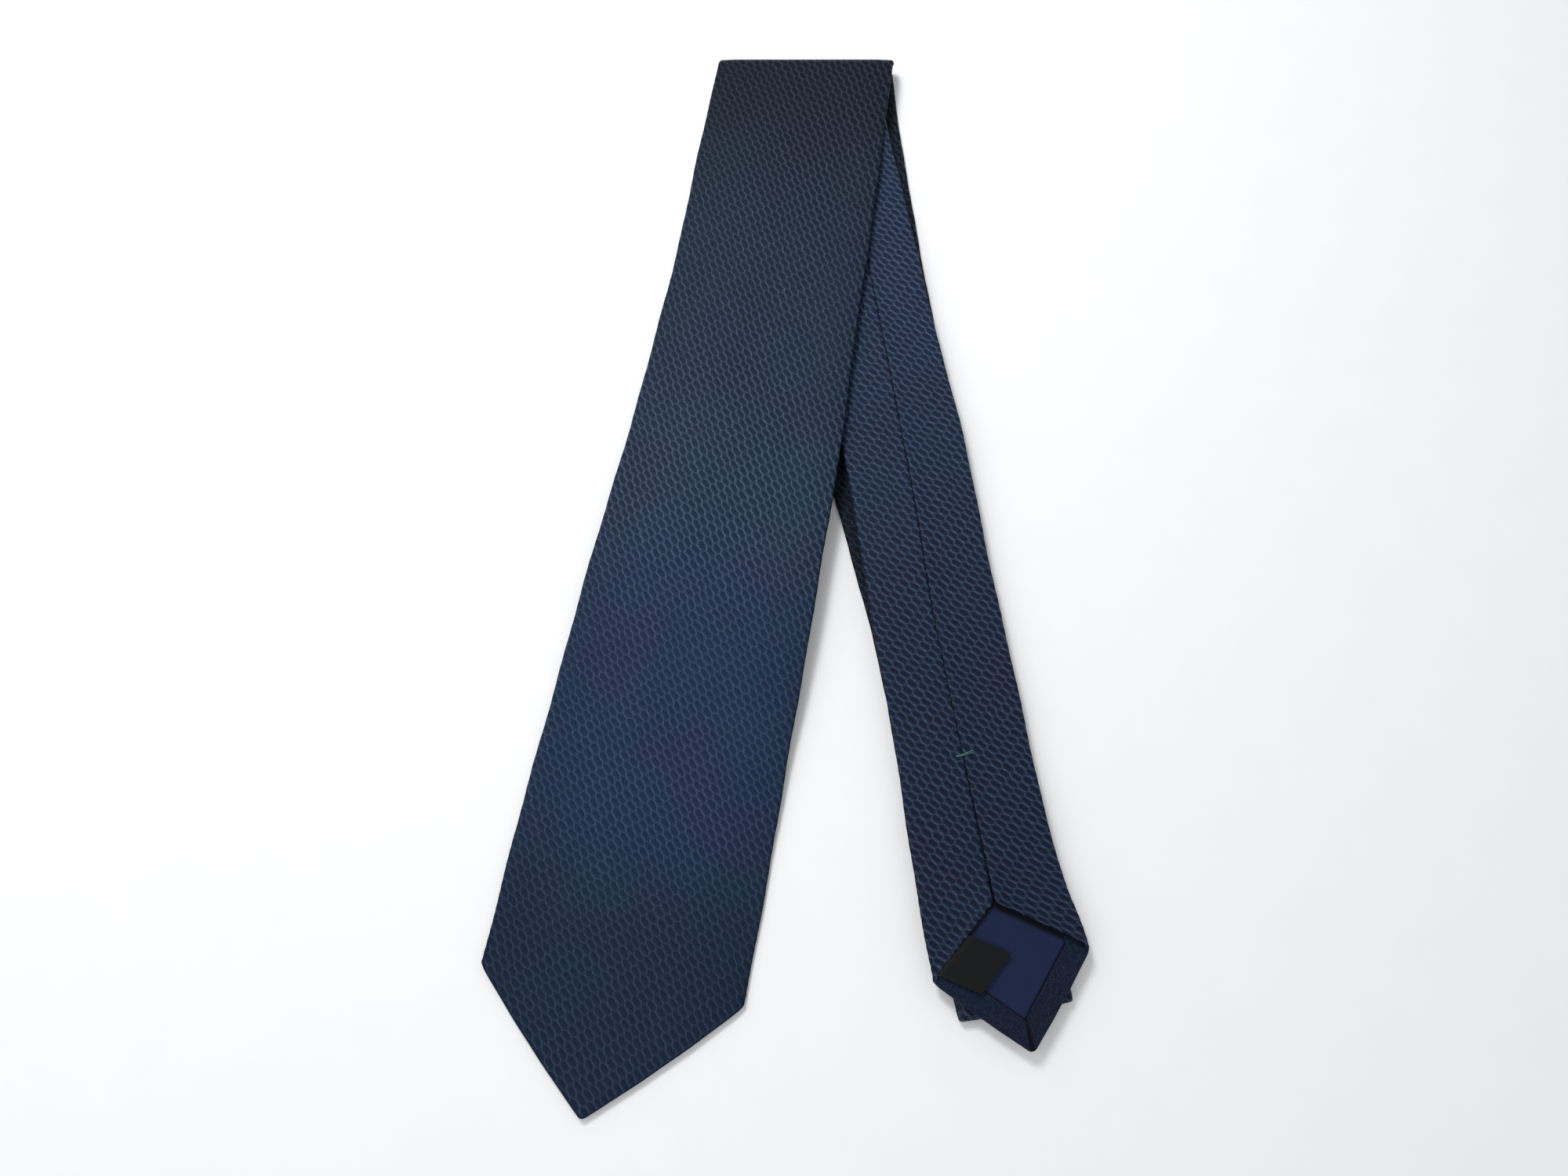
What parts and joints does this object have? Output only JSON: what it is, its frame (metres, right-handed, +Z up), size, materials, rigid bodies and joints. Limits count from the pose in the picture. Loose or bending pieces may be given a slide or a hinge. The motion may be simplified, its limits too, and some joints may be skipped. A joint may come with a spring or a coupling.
{
  "type": "necktie",
  "caption": "Silk necktie folded in four and lying flat: wide pointed blade face up over the narrow tail, whose lined tip shows its back, bar tack and a blank care label.",
  "frame": {"origin": "middle of the top fold, on the table plane", "axes": "+Z up from the table, +Y out of the top fold, so the folded tie hangs down -Y; +X to the right, towards the tail"},
  "size_m": [0.1942, 0.3818, 0.0089],
  "materials": {
    "silk": "navy jacquard silk with a small raised honeycomb, low sheen",
    "interlining": "brushed ecru wool interlining",
    "tipping": "plain navy satin lining",
    "thread": "navy silk sewing thread",
    "tack_thread": "grey-green silk twist",
    "maker_satin": "blank navy damask label",
    "label_satin": "blank black woven satin label"
  },
  "bodies": {
    "folded_half": {"blade_shell_upper": "silk", "neck_shell": "silk", "tail_shell_upper": "silk", "interlining_middle": "interlining", "slip_stitch_middle": "thread", "joining_seams": "thread", "top_fold_shell": "silk", "top_fold_interlining": "interlining", "tail_fold_shell": "silk", "tail_fold_interlining": "interlining"},
    "blade": {"blade_shell": "silk", "blade_interlining": "interlining", "blade_tipping": "tipping", "blade_slip_stitch": "thread", "blade_bar_tack": "tack_thread", "keeper_loop": "silk", "keeper_loop_tacks": "thread", "maker_label": "maker_satin", "maker_label_stitches": "thread"},
    "tail": {"tail_shell": "silk", "tail_interlining": "interlining", "tail_tipping": "tipping", "tail_slip_stitch": "thread", "tail_bar_tack": "tack_thread"},
    "care_label": {"care_label": "label_satin"}
  },
  "joints": [
    {"name": "blade_fold", "type": "hinge", "parent": "folded_half", "child": "blade", "pos_m": [0, -0.00295, 0.00445], "axis": [-1, 0, 0], "range_deg": [0, 180], "deforming": ["top_fold_shell", "top_fold_interlining"]},
    {"name": "tail_fold", "type": "hinge", "parent": "folded_half", "child": "tail", "pos_m": [0.00879, -0.01013, 0.0052], "axis": [-0.9863, -0.165, 0], "range_deg": [0, 175], "deforming": ["tail_fold_shell", "tail_fold_interlining"]},
    {"name": "care_label_lift", "type": "hinge", "parent": "tail", "child": "care_label", "pos_m": [0.04432, -0.33396, 0.0068], "axis": [-0.6347, -0.7727, 0], "range_deg": [0, 110]}
  ],
  "couplings": [
    {"joint": "tail_fold", "follows": "blade_fold", "ratio": 0.97}
  ]
}
